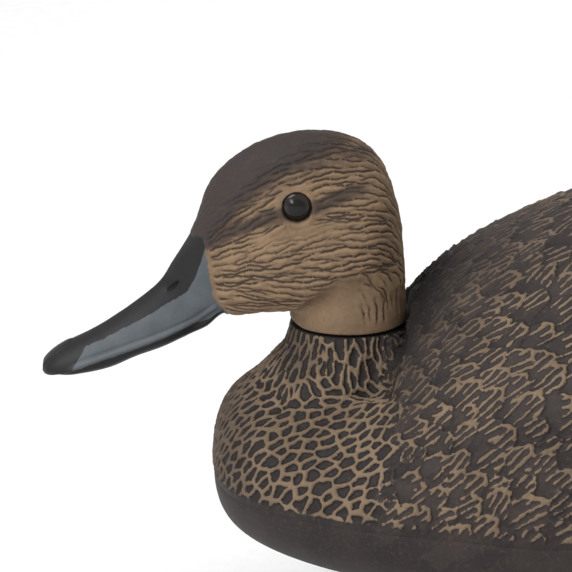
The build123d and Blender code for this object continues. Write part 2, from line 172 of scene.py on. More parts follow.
class Plumage:
    """Feathers laid over a skin, each on a point of it, along the flow, and as long and wide as given."""

    def __init__(self, skin, flow, length, width, seed):
        self.skin = skin
        normals = skin.normals
        self.along = unit(flow - normals * (flow * normals).sum(1)[:, None])
        self.across = np.cross(normals, self.along)
        self.length = length
        self.width = width
        self.bins = Bins(skin.points)
        self.random = np.random.default_rng(seed)
        self.sway = [waves(skin.points, 5, seed + number) for number in (1, 2)]

    def around(self, centre, reach, turn=0.0, growth=1.0):
        """Points near a feather's centre on the same face of the skin, in the feather's own measure."""
        skin = self.skin
        length, width = self.length[centre] * growth, self.width[centre] * growth
        near = self.bins.near(skin.points[centre], reach * max(length, width))
        near = near[skin.normals[near] @ skin.normals[centre] > 0.2]
        offset = skin.points[near] - skin.points[centre]
        along, across = offset @ self.along[centre], offset @ self.across[centre]
        c, s = math.cos(turn), math.sin(turn)
        return near, (along * c + across * s) / length, (across * c - along * s) / width

    def centres(self, order):
        """Centres no nearer to each other than their own size, taken in this order."""
        free = np.zeros(len(self.skin.points), bool)
        free[order] = True
        chosen = []
        for index in order:
            if free[index]:
                near, a, b = self.around(index, 1.0)
                free[near[a * a + b * b < 1]] = False
                chosen.append(index)
        return chosen

    def cells(self, centres):
        """Distance in mm from the crack between two cells, 0 on the crack."""
        count = len(self.skin.points)
        first, second = np.full(count, FAR), np.full(count, FAR)
        first_slope, second_slope = np.zeros((count, 3)), np.zeros((count, 3))
        for centre in centres:
            turn = self.random.normal(0, 0.13)
            growth = self.random.uniform(0.84, 1.16)
            near, a, b = self.around(centre, 2.2, turn, growth)
            a = a + 0.14 * self.sway[0][near]
            b = b + 0.14 * self.sway[1][near]
            distance = np.hypot(a, b) + 1e-6
            c, s = math.cos(turn) / growth, math.sin(turn) / growth
            lengthways = (self.along[centre] * c + self.across[centre] * s) / self.length[centre]
            sideways = (self.across[centre] * c - self.along[centre] * s) / self.width[centre]
            slope = (a / distance)[:, None] * lengthways + (b / distance)[:, None] * sideways
            wins = distance < first[near]
            won, lost = near[wins], near[~wins]
            second[won], second_slope[won] = first[won], first_slope[won]
            first[won], first_slope[won] = distance[wins], slope[wins]
            runner_up = distance[~wins] < second[lost]
            second[lost[runner_up]] = distance[~wins][runner_up]
            second_slope[lost[runner_up]] = slope[~wins][runner_up]
        steepness = np.linalg.norm(second_slope - first_slope, axis=1)
        return np.minimum((second - first) / np.maximum(steepness, 0.05), 5)

    def shingles(self, centres):
        """Overlapping feathers, each lying on the one behind it.

        Returns, for every point, the feather that it shows: how far along it (-1 root, 1 tip), how far out
        (1 at its edge), how much of a rim and of a barb is there, and a random number for the feather.
        """
        count = len(self.skin.points)
        tipward, outward = np.full(count, -2.0), np.ones(count)
        rim, barb, luck = np.zeros(count), np.zeros(count), np.zeros(count)
        for centre in centres:
            turn = self.random.normal(0, 0.15)
            growth = self.random.uniform(0.86, 1.16)
            chance = self.random.uniform()
            near, a, b = self.around(centre, 1.6, turn, growth)
            width = self.width[centre] * growth
            a = a + 0.05 * np.sin(b * 11 + chance * 40) + 0.07 * self.sway[0][near]
            b = b + 0.06 * self.sway[1][near]
            out = np.where(a > 0, np.hypot(a * 0.92, b / 0.80), np.abs(b) / 0.80)
            shows = (out < 1) & (a > -1.5) & (a > tipward[near])
            near, a, b, out = near[shows], a[shows], b[shows], out[shows]
            tipward[near], outward[near], luck[near] = a, out, chance
            # a rim round part of the tip, and barbs that run in from it, each to its own length
            bearing = np.abs(np.arctan2(b, np.maximum(a, 0.01)) - (chance - 0.5) * 1.6)
            inner = 1 - 0.85 / width
            bold = 1.0 if chance > 0.38 else 0.55
            edge = ramp(out, inner - 0.09, inner + 0.07)
            rim[near] = bold * edge * ramp(bearing, 1.05, 0.55) * (a > -0.1)
            spacing = self.random.uniform(1.9, 2.5)
            lane = b * width / (1 + 0.25 * a) / spacing + chance * 7
            # a hashed number from 0 to 1 for each lane
            length = np.modf(np.abs(np.sin((np.floor(lane) + 3) * 12.9 + chance * 78.2)) * 437.5)[0]
            start = 0.50 - 1.45 * length * (0.45 + 0.55 * chance)
            ridge = ramp(np.abs(lane - np.floor(lane) - 0.5), 0.30, 0.06)
            barb[near] = ridge * ramp(a, start, start + 0.15) * ramp(out, 1.0, 0.93)
        return tipward, outward, rim, barb, luck

    def trace(self, start, steps, heading, tree, allowed, gap):
        """Points along the flow from a start, wavering, until they leave the allowed skin or meet a line."""
        phases = self.random.uniform(0, 6.3, 3)
        place, path = self.skin.points[start].copy(), []
        for step in range(steps):
            _, index, _ = tree.find(place)
            turn = 0.16 * math.sin(step * 0.11 + phases[0]) + 0.17 * math.sin(step * 0.34 + phases[1])
            turn += 0.16 * math.sin(step * 0.83 + phases[2])
            direction = self.along[index] * math.cos(turn) + self.across[index] * math.sin(turn)
            place = self.skin.points[index] * 0.25 + place * 0.75 + direction * heading * STRIDE
            path.append((index, place.copy()))
            if not allowed[index] or gap[index] < 0.30:
                break
        return path

    def swath(self, path, bold):
        """The points near a line, their distance to it, how far above it they are, and its strength."""
        found = []
        for number, (index, place) in enumerate(path):
            near = self.bins.near(place, 3.2)
            offset = self.skin.points[near] - place
            distance = np.linalg.norm(offset, axis=1)
            from_end = min(number, len(path) - 1 - number)
            taper = min(1.0, 0.25 + 0.16 * from_end)
            found.append((near, distance, offset @ self.across[index], np.full(len(near), bold * taper)))
        near, distance, side, force = (np.concatenate(part) for part in zip(*found))
        # a point that is near several places of the line keeps the nearest one
        order = np.argsort(-distance, kind="stable")
        near, distance, side, force = near[order], distance[order], side[order], force[order]
        best = np.full(len(self.skin.points), FAR)
        best[near] = distance
        nearest = best[near] == distance
        return near[nearest], distance[nearest], side[nearest], force[nearest]

    def cracks(self, allowed, spacing, shortest, longest):
        """Long wavering lines along the flow that now and then run into each other.

        Returns, for every point, its distance to the nearest line, how far above it is (negative below),
        and that line's strength there.
        """
        count = len(self.skin.points)
        tree = KDTree(count)
        for index, place in enumerate(self.skin.points):
            tree.insert(place, index)
        tree.balance()
        gap, above, strength = np.full(count, FAR), np.full(count, FAR), np.zeros(count)
        for start in self.random.permutation(np.flatnonzero(allowed)):
            if gap[start] < spacing[start]:
                continue
            steps = int(self.random.uniform(shortest, longest) / STRIDE / 2)
            path = self.trace(start, steps, -1, tree, allowed, gap)[::-1]
            path += self.trace(start, steps, 1, tree, allowed, gap)
            near, distance, side, force = self.swath(path, self.random.uniform(0.65, 1.0))
            closer = distance < gap[near]
            near = near[closer]
            gap[near], above[near], strength[near] = distance[closer], side[closer], force[closer]
        return gap, above, strength


def mesh_of(name, bm):
    """The bmesh as a mesh with this name. The bmesh is freed."""
    mesh = bpy.data.meshes.new(name)
    bm.to_mesh(mesh)
    bm.free()
    return mesh


def linked(name, data):
    """A new object with this data, in the scene."""
    made = bpy.data.objects.new(name, data)
    bpy.context.scene.collection.objects.link(made)
    return made


def remeshed(name, meshes, voxel):
    """A closed even quad skin round these meshes together, with their sealed insides filled."""
    bm = bmesh.new()
    for mesh in meshes:
        bm.from_mesh(mesh)
    joined = mesh_of(name + "_source", bm)
    source = linked(name + "_source", joined)
    remesh = source.modifiers.new("remesh", "REMESH")
    remesh.mode = "VOXEL"
    remesh.voxel_size = voxel * MM
    evaluated = source.evaluated_get(bpy.context.evaluated_depsgraph_get())
    result = bpy.data.meshes.new_from_object(evaluated)
    bpy.data.objects.remove(source)
    bpy.data.meshes.remove(joined)
    result.name = name
    result.polygons.foreach_set("use_smooth", np.ones(len(result.polygons), bool))
    return linked(name, result)


def refined(skin, voxel):
    """The skin's form on a finer mesh."""
    name, coarse = skin.piece.name, skin.piece.data
    bpy.data.objects.remove(skin.piece)
    coarse.name = name + "_coarse"
    piece = remeshed(name, [coarse], voxel)
    bpy.data.meshes.remove(coarse)
    return Skin(piece)


def cad_meshes(*nodes):
    return [frame["nodes"][n].data for n in nodes]


# ---- materials
class Paint:
    """A node material, with short calls for the nodes that it needs."""

    def __init__(self, name, roughness=0.6):
        self.material = bpy.data.materials.new(name)
        self.material.use_nodes = True
        self.tree = self.material.node_tree
        self.shader = self.tree.nodes["Principled BSDF"]
        self.shader.inputs["Roughness"].default_value = roughness
        self.shader.inputs["Specular IOR Level"].default_value = 0.3

    def node(self, kind, **settings):
        made = self.tree.nodes.new(kind)
        for key, value in settings.items():
            setattr(made, key, value)
        return made

    def put(self, socket, value):
        if isinstance(value, bpy.types.NodeSocket):
            self.tree.links.new(value, socket)
        elif isinstance(value, tuple):
            socket.default_value = (*value, 1)[: len(socket.default_value)]
        else:
            socket.default_value = value

    def mask(self, name):
        return self.node("ShaderNodeAttribute", attribute_name=name).outputs["Fac"]

    def math(self, operation, first, second):
        made = self.node("ShaderNodeMath", operation=operation)
        self.put(made.inputs[0], first)
        self.put(made.inputs[1], second)
        return made.outputs[0]

    def times(self, first, second):
        return self.math("MULTIPLY", first, second)

    def spread(self, value, width):
        """A value of 0..1 moved to lie round 0, and made this wide."""
        return self.times(self.math("SUBTRACT", value, 0.5), width)

    def step(self, value, low, high):
        """0 to 1 as value goes from low to high, smoothly."""
        made = self.node("ShaderNodeMapRange", interpolation_type="SMOOTHSTEP")
        self.put(made.inputs["Value"], value)
        self.put(made.inputs["From Min"], low)
        self.put(made.inputs["From Max"], high)
        return made.outputs[0]

    def noise(self, size, detail=4.0, roughness=0.6, stretch=(1, 1, 1)):
        """Noise with features of about size mm, -> 0..1."""
        place = self.node("ShaderNodeTexCoord").outputs["Object"]
        mapping = self.node("ShaderNodeMapping")
        self.put(mapping.inputs["Vector"], place)
        mapping.inputs["Scale"].default_value = [1 / (size * MM * s) for s in stretch]
        made = self.node("ShaderNodeTexNoise")
        self.put(made.inputs["Vector"], mapping.outputs[0])
        self.put(made.inputs["Scale"], 1.0)
        self.put(made.inputs["Detail"], detail)
        self.put(made.inputs["Roughness"], roughness)
        return made.outputs["Fac"]

    def mix(self, amount, first, second):
        """The first colour at amount 0, the second at 1. Sockets 6, 7 and 2 are the node's colour ones."""
        made = self.node("ShaderNodeMix", data_type="RGBA")
        self.put(made.inputs["Factor"], amount)
        self.put(made.inputs[6], first)
        self.put(made.inputs[7], second)
        return made.outputs[2]

    def bump(self, height, distance, strength, normal=None):
        made = self.node("ShaderNodeBump")
        self.put(made.inputs["Distance"], distance * MM)
        self.put(made.inputs["Strength"], strength)
        self.put(made.inputs["Height"], height)
        if normal is not None:
            self.put(made.inputs["Normal"], normal)
        return made.outputs["Normal"]

    def finish(self, color, roughness=None, normal=None):
        """Joins these to the shader, and gives the material."""
        self.put(self.shader.inputs["Base Color"], color)
        if roughness is not None:
            self.put(self.shader.inputs["Roughness"], roughness)
        if normal is not None:
            self.put(self.shader.inputs["Normal"], normal)
        return self.material


def srgb(red, green, blue):
    """A colour mixed as on a paint card, 0 to 255, as the linear values that shaders use."""
    channels = np.array([red, green, blue]) / 255
    return tuple(np.where(channels <= 0.04045, channels / 12.92, ((channels + 0.055) / 1.055) ** 2.4))


# head
TAN = srgb(134, 110, 85)
PALE_TAN = srgb(150, 124, 97)
DEEP_TAN = srgb(110, 90, 70)
UMBER = srgb(62, 50, 44)
DARK_UMBER = srgb(42, 35, 32)
CROWN = srgb(54, 47, 45)
PALE_CROWN = srgb(68, 60, 56)
CHARCOAL = srgb(24, 24, 25)
PALE_CHARCOAL = srgb(31, 30, 31)
SLATE = srgb(74, 79, 83)
PALE_SLATE = srgb(84, 89, 94)
# lighter blue-grey for the painted highlight along the upper bill's lip
HIGHLIT_SLATE = srgb(112, 117, 123)
HEAD_SHADE = srgb(18, 16, 15)
# body
BROWN = srgb(38, 32, 31)
PALE_BROWN = srgb(48, 41, 39)
LUCKY_BROWN = srgb(66, 56, 52)  # in some feathers more than in others
DUSTY_BROWN = srgb(74, 64, 59)
# near-black brown for the painted shade in the body's hollows
HOLLOW_SHADE = srgb(25, 21, 20)
WORN_BROWN = srgb(86, 74, 66)
BRUSHED_TAN = srgb(112, 94, 76)
PALE_BRUSHED_TAN = srgb(130, 111, 90)
BODY_SHADE = srgb(24, 21, 20)


def feather_paint(paint, cloud, fine, streaks):
    """The head's feathers: uneven tan, dark in the grooves with paint that is partly painted shade, and paler
    on the crests as painted highlight, with a dark cap.
    """
    mix, step, mask, times = paint.mix, paint.step, paint.mask, paint.times
    base = mix(step(cloud, 0.3, 0.75), DEEP_TAN, TAN)
    base = mix(times(step(fine, 0.45, 0.75), 0.35), base, PALE_TAN)
    # paler on the crests: a painted highlight on the land between grooves, strongest on the lip under each
    # groove
    base = mix(times(mask("crest"), 0.55), base, PALE_TAN)
    specks = step(paint.noise(1.1, 3.0, 0.6, stretch=(1, 1, 2.4)), 0.60, 0.70)
    base = mix(times(specks, 0.30), base, UMBER)
    # streaky umber: a dark wash at the cap's edge, round the eye stripe and high on the crown, and painted
    # shade towards the nape and under the cheek's lower edge
    wash = times(mask("wash"), step(streaks, 0.15, 0.7))
    base = mix(wash, base, UMBER)
    # dark paint in the grooves, which also stands in for the painted shade in them
    groove = step(mask("groove"), 0.26, 0.80)
    base = mix(times(groove, 0.86), base, DARK_UMBER)
    # cap and eye stripe, sprayed on with a soft streaky edge
    dark = paint.math("ADD", mask("cap"), paint.spread(streaks, 0.75))
    base = mix(times(step(dark, 0.12, 0.55), 0.80), base, UMBER)
    crown = mix(times(step(streaks, 0.45, 0.75), 0.5), CROWN, PALE_CROWN)
    return mix(times(step(dark, 0.40, 1.05), 0.96), base, crown), groove


def head_material():
    paint = Paint("head_paint")
    mix, step, mask, times = paint.mix, paint.step, paint.mask, paint.times
    cloud = paint.noise(9.0)
    fine = paint.noise(0.9, 3.0)
    streaks = paint.noise(2.2, 4.0, 0.65, stretch=(1, 3.2, 1))
    feathers, groove = feather_paint(paint, cloud, fine, streaks)
    # bill: charcoal with blue-grey sides
    charcoal = mix(step(cloud, 0.35, 0.7), CHARCOAL, PALE_CHARCOAL)
    slate = mix(step(cloud, 0.3, 0.7), SLATE, PALE_SLATE)
    ragged = paint.math("ADD", mask("slate"), paint.spread(fine, 0.5))
    bill = mix(step(ragged, -0.12, 0.12), charcoal, slate)
    on_bill = step(mask("bill"), -0.15, 0.15)
    color = mix(on_bill, feathers, bill)
    # a painted highlight along the lip of the upper bill, over the blue-grey
    lip = times(mask("lip"), on_bill)
    color = mix(times(lip, 0.35), color, HIGHLIT_SLATE)
    color = mix(mask("shade"), color, HEAD_SHADE)
    rough = paint.math("SUBTRACT", 0.66, times(on_bill, 0.20))
    rough = paint.math("ADD", rough, times(fine, 0.10))
    grain = times(paint.noise(0.45, 2.0), paint.math("SUBTRACT", 1.0, on_bill))
    normal = paint.bump(grain, 0.10, 0.5)
    normal = paint.bump(times(groove, -1.0), 0.22, 0.8, normal)
    return paint.finish(color, rough, normal)


def body_material():
    paint = Paint("body_paint")
    mix, step, mask, times = paint.mix, paint.step, paint.mask, paint.times
    cloud = paint.noise(14.0)
    fine = paint.noise(0.8, 3.0)
    patchy = paint.noise(5.0, 5.0, 0.65)
    base = mix(step(cloud, 0.3, 0.72), BROWN, PALE_BROWN)
    base = mix(times(mask("luck"), 0.45), base, LUCKY_BROWN)
    base = mix(times(step(fine, 0.5, 0.8), 0.3), base, DUSTY_BROWN)
    # painted shade in the net's cells, at the feather roots and in the crease at the neck's foot
    base = mix(mask("hollow"), base, HOLLOW_SHADE)
    worn = times(step(paint.noise(1.6, 4.0, 0.7), 0.50, 0.72), 0.30)
    base = mix(worn, base, WORN_BROWN)
    # dry-brushed tan: on the net of the neck and breast, and on edges and barbs of the feathers
    missed = paint.math("ADD", paint.spread(patchy, 0.9), paint.spread(fine, 0.7))
    brushed = paint.math("ADD", mask("brush"), paint.math("MINIMUM", missed, 0.16))
    brushed = times(step(brushed, 0.42, 0.62), mask("strength"))
    tan = mix(step(cloud, 0.35, 0.7), BRUSHED_TAN, PALE_BRUSHED_TAN)
    color = mix(brushed, base, tan)
    color = mix(mask("shade"), color, BODY_SHADE)
    rough = paint.math("ADD", 0.60, times(fine, 0.14))
    rough = paint.math("ADD", rough, times(mask("shade"), 0.25))
    normal = paint.bump(paint.noise(0.5, 2.0), 0.12, 0.5)
    normal = paint.bump(mask("brush"), 0.25, 0.7, normal)
    return paint.finish(color, rough, normal)


def plain_material(name, color, roughness, metallic=0.0, grain=0.4, speckle=0.12):
    """Moulded plastic, rubber or metal: one colour, slightly mottled, with a fine surface grain."""
    paint = Paint(name)
    paint.shader.inputs["Metallic"].default_value = metallic
    lighter = tuple(min(1.0, c * (1 + 2 * speckle) + 0.01) for c in color)
    darker = tuple(c * (1 - speckle) for c in color)
    blotches = paint.noise(6.0, 5.0, 0.6)
    fine = paint.noise(0.7, 3.0)
    shade = paint.mix(paint.step(blotches, 0.35, 0.7), darker, lighter)
    rough = paint.math("ADD", roughness - 0.06, paint.times(fine, 0.12))
    return paint.finish(shade, rough, paint.bump(fine, 0.05, grain))


# ---- head
HEAD_COARSE, HEAD_FINE = 0.6, 0.38  # mesh sizes for shaping and for carving
HEAD_SEED = 12
# the dark stripe through the eye, and the lower edge of the dark cap, from the bill back
STRIPE_Y, STRIPE_Z = (-46, -36, -26, -11, 0, 10), (29.5, 35.2, 40.0, 43.6, 47.6, 50.0)
CAP_Y, CAP_Z = (-46, -39, -34, -25, -11, 0, 8), (28.0, 37.5, 43.5, 51.0, 57.4, 60.3, 61.0)
# the cheek's lower edge, where it stands out over the neck
CHEEK_Y, CHEEK_Z = (-24, -18, -12.5, -4, 5, 11, 18), (2, 5.5, 13, 20, 22, 21, 18.5)
# the smoother band under the eye
CALM_Y, CALM_Z = (-34, -17, 0), (31.5, 35.5, 37.5)
NOSTRIL_Y, NOSTRIL_Z = -58.4, 13.6
NOSTRIL_RISE = math.radians(38)
NAIL_Y = -99  # middle of the nail on the bill's tip
LOWEST_NAIL = -17
EYE_BED = 4.75  # radius round the eye within which the skin lies inside the eyeball
EYE_BED_DEPTH = 1.6


def bill_edge(x, z):
    """How far forward (in -y) the feathers reach over the bill, at the side, the chin and the forehead."""
    side = -44.6 - 0.17 * (z - 12.6) + 3.4 * np.clip((12.6 - z) / 7.1, 0, 1.4) ** 1.3
    peak = 4.5 * np.clip(1 - (x / 8.5) ** 2, 0, 1)
    return side - peak * ramp(z, 22, 30)


def patch_top(y):
    """Height of the upper edge of the blue-grey patch on the bill's side."""
    forward = y + 54.1
    return 11.4 + 0.72 * forward + np.where(forward > 0, 0.22, 0.0045) * forward * forward


def lip_line(y):
    """Height of the upper bill's lower edge; it turns up towards the corner of the mouth."""
    front = 1.3 * ramp(y, -58, -86)
    corner = 2.6 * ramp(y, -51, -43)
    sag = 0.5 * np.sin(np.clip((y + 90) / 46, 0, 1) * math.pi)
    return 4.0 + 0.425 * (y + 43.9) - sag + front + corner


def stripe_height(y):
    """Middle of the dark stripe through the eye."""
    return np.interp(y, STRIPE_Y, STRIPE_Z)


def soften_head(skin, collar):
    """Rounds the CAD form off under the cheek and where the bill meets the face."""
    _, y, z = skin.points.T
    skin.smooth(bell(z, 12, 10) * collar * (y > -30), 24)
    skin.smooth(ramp(y, -60, -52) * ramp(y, -36, -44) * 0.9, 26)
    skin.smooth(ramp(y, -54, -49) * ramp(y, -40, -43) * ramp(z, 22, 12), 90)
    # a deeper lower bill towards the chin
    below_lip = ramp(lip_line(y) - z, -0.8, 1.6)
    skin.points[:, 2] -= 1.7 * below_lip * ramp(y, -74, -54) * ramp(y, -40, -46)
    skin.write()


def fill_cheek(skin, collar, ring):
    """A fuller cheek over the neck, and a shallow channel through the eye."""
    x, y, z = skin.points.T
    low = np.interp(y, CHEEK_Y, CHEEK_Z)
    reach = np.hypot(x, y)
    cheek = ramp(z, low - 1.4, low + 2.0) * ramp(z, low + 15, low + 2) * ramp(reach, 12, 17)
    hollow = bell(z, low - 4, 4.0) * collar * (reach > 15) * (y < 14)
    channel = bell(z, stripe_height(y), 4.5) * ramp(y, -48, -36) * ramp(y, 14, 2) * ramp(ring, 5.5, 10)
    skin.push((0.8 * cheek * ramp(y, -45, -34) - 0.5 * hollow) * ramp(y, 15, 3) - 0.7 * channel)


def fit_head_outline(skin):
    """A flatter crown and nape, a fuller ridge on the bill, and a deeper lower bill over a shallower chin."""
    _, y, z = skin.points.T
    skin.points[:, 1] -= 1.3 * ramp(y, 2, 20) * ramp(z, 14, 34)
    skin.points[:, 2] -= 0.8 * ramp(z, 46, 60) + 0.9 * ramp(z, 50, 62) * ramp(y, -8, 12)
    below_lip = ramp(lip_line(y) - z, -0.5, 1.5)
    deeper = 1.0 * ramp(y, -100, -90) * ramp(y, -66, -78) + 1.5 * bell(y, -47, 5.5)
    skin.points[:, 2] -= below_lip * deeper
    skin.points[:, 2] += 1.1 * ramp(z, 8, 2) * ramp(y, -36, -28) * ramp(y, -14, -20)
    skin.push(0.9 * (bell(y, -57, 7) * ramp(z, 12, 20)))


class HeadPlan:
    """Where things lie on the head, for every point of its skin before the carving."""

    def __init__(self, skin):
        x, y, z = skin.points.T
        self.side = np.abs(x)
        self.low = np.interp(y, CHEEK_Y, CHEEK_Z)
        # distance from the eye's middle, as seen from the side
        self.ring = np.where(self.side > 8, np.hypot(y - EYE[1], z - EYE[2]), 99)
        # mm in front of the ragged edge of the feathers
        self.bill = bill_edge(x, z) - y + 0.35 * waves(skin.points, 3.0, 5)
        self.on_bill = ramp(self.bill, -0.25, 0.25)
        self.above_lip = z - lip_line(y)
        self.lip = bell(self.above_lip, 0.9, 0.9) * ramp(self.side, 4, 7)
        self.lip = self.lip * ramp(y, -94, -88) * ramp(y, -42.6, -44.4)
        self.nostril, self.slot = self.nostrils(y, z)
        self.neck = ramp(z, self.low + 0.6, self.low - 1.4) * (y > -26)
        self.over_cap = z - np.interp(y, CAP_Y, CAP_Z)
        self.cap = ramp(self.over_cap, -3.5, 3.5) * ramp(y, 11, -13)
        self.feathered = ramp(self.bill, -0.6, -2.2) * ramp(z, 2.8, 5.0)

    def nostrils(self, y, z):
        """An oval hollow with a deeper slot in it, rising to the rear."""
        c, s = math.cos(NOSTRIL_RISE), math.sin(NOSTRIL_RISE)
        back, up = y - NOSTRIL_Y, z - NOSTRIL_Z
        along, across = back * c + up * s, -back * s + up * c
        hollow = np.exp(-((along / 4.0) ** 2) - (across / 1.9) ** 2) * (self.side > 1.5)
        slot = ramp(np.hypot(along / 2.5, across / 0.55), 1.25, 0.65) * (self.side > 1.5)
        return hollow, slot


def bill_relief(skin, plan):
    """Height of the bill's relief: lip and groove, the mouth below them, nail, ridge and nostrils."""
    _, y, z = skin.points.T
    groove = bell(plan.above_lip, 2.3, 0.42) * ramp(plan.side, 4, 7) * ramp(y, -92, -84) * ramp(y, -43, -46)
    under = ramp(plan.above_lip, -0.15, -0.75) * (y < -40)
    height = plan.on_bill * (-0.55 + 0.42 * plan.lip - 0.38 * groove - 0.75 * under)
    nail = ramp(np.hypot(plan.side / 4.2, (y - NAIL_Y) / 7.5), 1.08, 0.92) * (z > LOWEST_NAIL)
    height += 0.35 * nail * plan.on_bill
    height += plan.on_bill * 0.3 * bell(plan.side, 0, 1.6) * (z > lip_line(y) + 4) * ramp(y, -90, -75)
    height -= plan.on_bill * (0.9 * plan.nostril + 0.9 * plan.slot)
    return height


def head_flow(skin, neck):
    """Flow of the plumage: from the bill up towards the eye, level on the cheek, down at the nape."""
    x, y, z = skin.points.T
    rise = 0.04 + 0.50 * ramp(z, 14, 42) * ramp(y, 4, -30) - 0.45 * ramp(y, 6, 19)
    rise = rise + 0.10 * waves(skin.points, 16, 2)
    back = np.stack([np.zeros(len(x)), np.ones(len(x)), rise], 1)
    down = np.stack([0.03 * x, 0.35 + 0.75 * ramp(z, 6, 18), -np.ones(len(x))], 1)
    return back * (1 - neck)[:, None] + down * neck[:, None]


def head_grooves(skin, plan):
    """Masks of the plumage's wavy grooves, of the land between them, and of the lip under each groove."""
    _, y, z = skin.points.T
    size = np.ones(len(y))
    plumage = Plumage(skin, head_flow(skin, plan.neck), size, size, HEAD_SEED)
    grooved_skirt = ramp(y, 0, 9) * ramp(waves(skin.points, 9, 9), -0.6, 0.0)
    allowed = (plan.bill < -0.3) & (plan.ring > 6.3) & (z > 3.2)
    allowed = allowed & ((plan.neck < 0.5) | (grooved_skirt > 0.5))
    spacing = 1.70 + 0.35 * waves(skin.points, 18, 3) + 0.5 * (plan.neck > 0.5)
    gap, above, bold = plumage.cracks(allowed, spacing, 9, 38)
    crown = ramp(plan.over_cap, 1.5, 9) * ramp(y, 12, -12)
    under_eye = bell(z, np.interp(y, CALM_Y, CALM_Z), 1.8) * ramp(y, -36, -28) * ramp(y, 0, -12)
    calm = ramp(plan.ring, 6.0, 7.5) * (1 - 0.7 * under_eye)
    faint = (1 - 0.78 * crown) * calm * (1 - 0.15 * plan.neck)
    groove = bold * ramp(gap, 0.62, 0.12) * plan.feathered * faint
    land = ramp(gap, 0.3, 1.5) * plan.feathered * (0.4 + 0.6 * faint)
    lower_edge = bell(above, -0.95, 0.55) * bold * plan.feathered * faint
    return groove, land, lower_edge


def paint_head(skin, plan, groove, crest):
    """Stores the masks of the head's paint."""
    _, y, z = skin.points.T
    front = -87.1 - (-8.2 - z) * 0.645
    mouth = plan.above_lip + 0.3 + 2.6 * ramp(y, -51, -43)
    slate = np.minimum(np.minimum(patch_top(y) - z, (y - front) * 1.2), mouth)
    stripe = ramp(np.abs(z - stripe_height(y)), 4.2, 0.6) * ramp(y, 16, -4) * (plan.side > 5)
    edge_of_cap = bell(plan.over_cap, -1.5, 3.2) * ramp(y, 18, 2)
    # umber wash at the cap's edge, round the stripe and high on the crown, and painted shade towards the nape
    wash = 0.26 * ramp(y, -2, 17) + 0.35 * ramp(z, 50, 60) + 0.55 * edge_of_cap + 0.55 * stripe
    # painted shade under the cheek's lower edge, where it stands out over the neck
    wash = wash + 0.45 * bell(z, plan.low - 1.5, 2.6) * (y > -26) * (y < 8)
    eyelid = 0.8 * ramp(plan.ring, 5.15, 4.85)
    shade = plan.on_bill * plan.slot + 0.35 * plan.on_bill * plan.nostril + eyelid
    skin.paint(
        bill=np.clip(plan.bill, -1, 1),
        slate=np.clip(slate + 0.25 * waves(skin.points, 4, 8), -1, 1),
        # the lip mask places the painted highlight along the bill's lip
        lip=plan.lip * ramp(plan.above_lip, 0.1, 0.5),
        groove=groove,
        crest=crest,
        cap=np.maximum(plan.cap, 0.62 * stripe),
        wash=np.clip(wash, 0, 1),
        shade=np.clip(shade, 0, 1),
    )


def carve_head(skin):
    """The hand-carved look: cheek, eye channel, bill lip, nostrils, and the wavy grooves of the plumage."""
    # the swivel bolt closes the plug's hole, but its shank stays out of the head's own skin
    skin.points[:, 2] = np.maximum(skin.points[:, 2], HEAD_LOW)
    _, y, z = skin.points.T
    collar = ramp(z, 2.5, 5.0)
    ring = np.hypot(y - EYE[1], z - EYE[2])
    soften_head(skin, collar)
    fill_cheek(skin, collar, ring)
    fit_head_outline(skin)

    skin = refined(skin, HEAD_FINE)
    plan = HeadPlan(skin)
    groove, land, lower_edge = head_grooves(skin, plan)
    height = bill_relief(skin, plan)
    height += 0.20 * land - 0.55 * groove + 0.20 * lower_edge
    height += 0.10 * waves(skin.points, 5, 6) * plan.feathered * (1 - plan.neck)
    height += 0.30 * bell(plan.ring, 5.7, 0.8)
    skin.push(skin.blurred(height))
    # under the eye the skin lies inside the eyeball, so that the lid fits it closely
    bed = plan.ring < EYE_BED
    skin.points[bed, 0] -= EYE_BED_DEPTH * np.sign(skin.points[bed, 0])
    skin.write()
    # the crest mask is a painted highlight on the land, most on the lip under each groove
    paint_head(skin, plan, groove, np.clip(lower_edge + 0.3 * land, 0, 1))
    return skin


def add_head():
    meshes = cad_meshes("head", "neck_plug", "swivel_bolt", "left_eye", "right_eye")
    piece = carve_head(Skin(remeshed("decoy_head", meshes, HEAD_COARSE))).piece
    piece.data.materials.append(head_material())
    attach(piece, "head")
    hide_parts("head")


# ---- body
BODY_COARSE, BODY_FINE = 1.2, 0.5  # mesh sizes for shaping and for carving
SEAT_Z = -0.4  # highest level of the neck's seat, inside its rim
SEAT_REACH = 20  # radius of the seat
DRAIN_Y = sum(c.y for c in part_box("drain_plug")) / 2 / MM - NECK[1]
DRAIN_REACH = 8
DRAIN_LOW = -67.0  # level of the hull's skin round the drain plug
NET_SEED, SCALE_SEED = 31, 32
# how steeply the feathers point upwards, in degrees, from the breast to the tail
TILT_Y, TILT = (-45, 0, 45, 85, 130, 180, 240, 290), (24, 34, 42, 28, 8, -6, -12, 8)


def wing_mask(points):
    """1 on the tips of the folded wings, over the rump."""
    y, z = points[:, 1], points[:, 2]
    return ramp(y, 176, 196) * ramp(z, cape_line(y) - 26, cape_line(y) - 20) * ramp(y, 246, 236)


def pocket_line(y):
    """Top edge of the side pocket feathers."""
    return -34 + 22 * np.sin(np.clip((y - 15) / 190, 0, 1) * math.pi) ** 0.8


def cape_line(y):
    """Lower edge of the scapulars over the folded wing."""
    return 10 + 16 * np.sin(np.clip((y - 50) / 160, 0, 1) * math.pi)


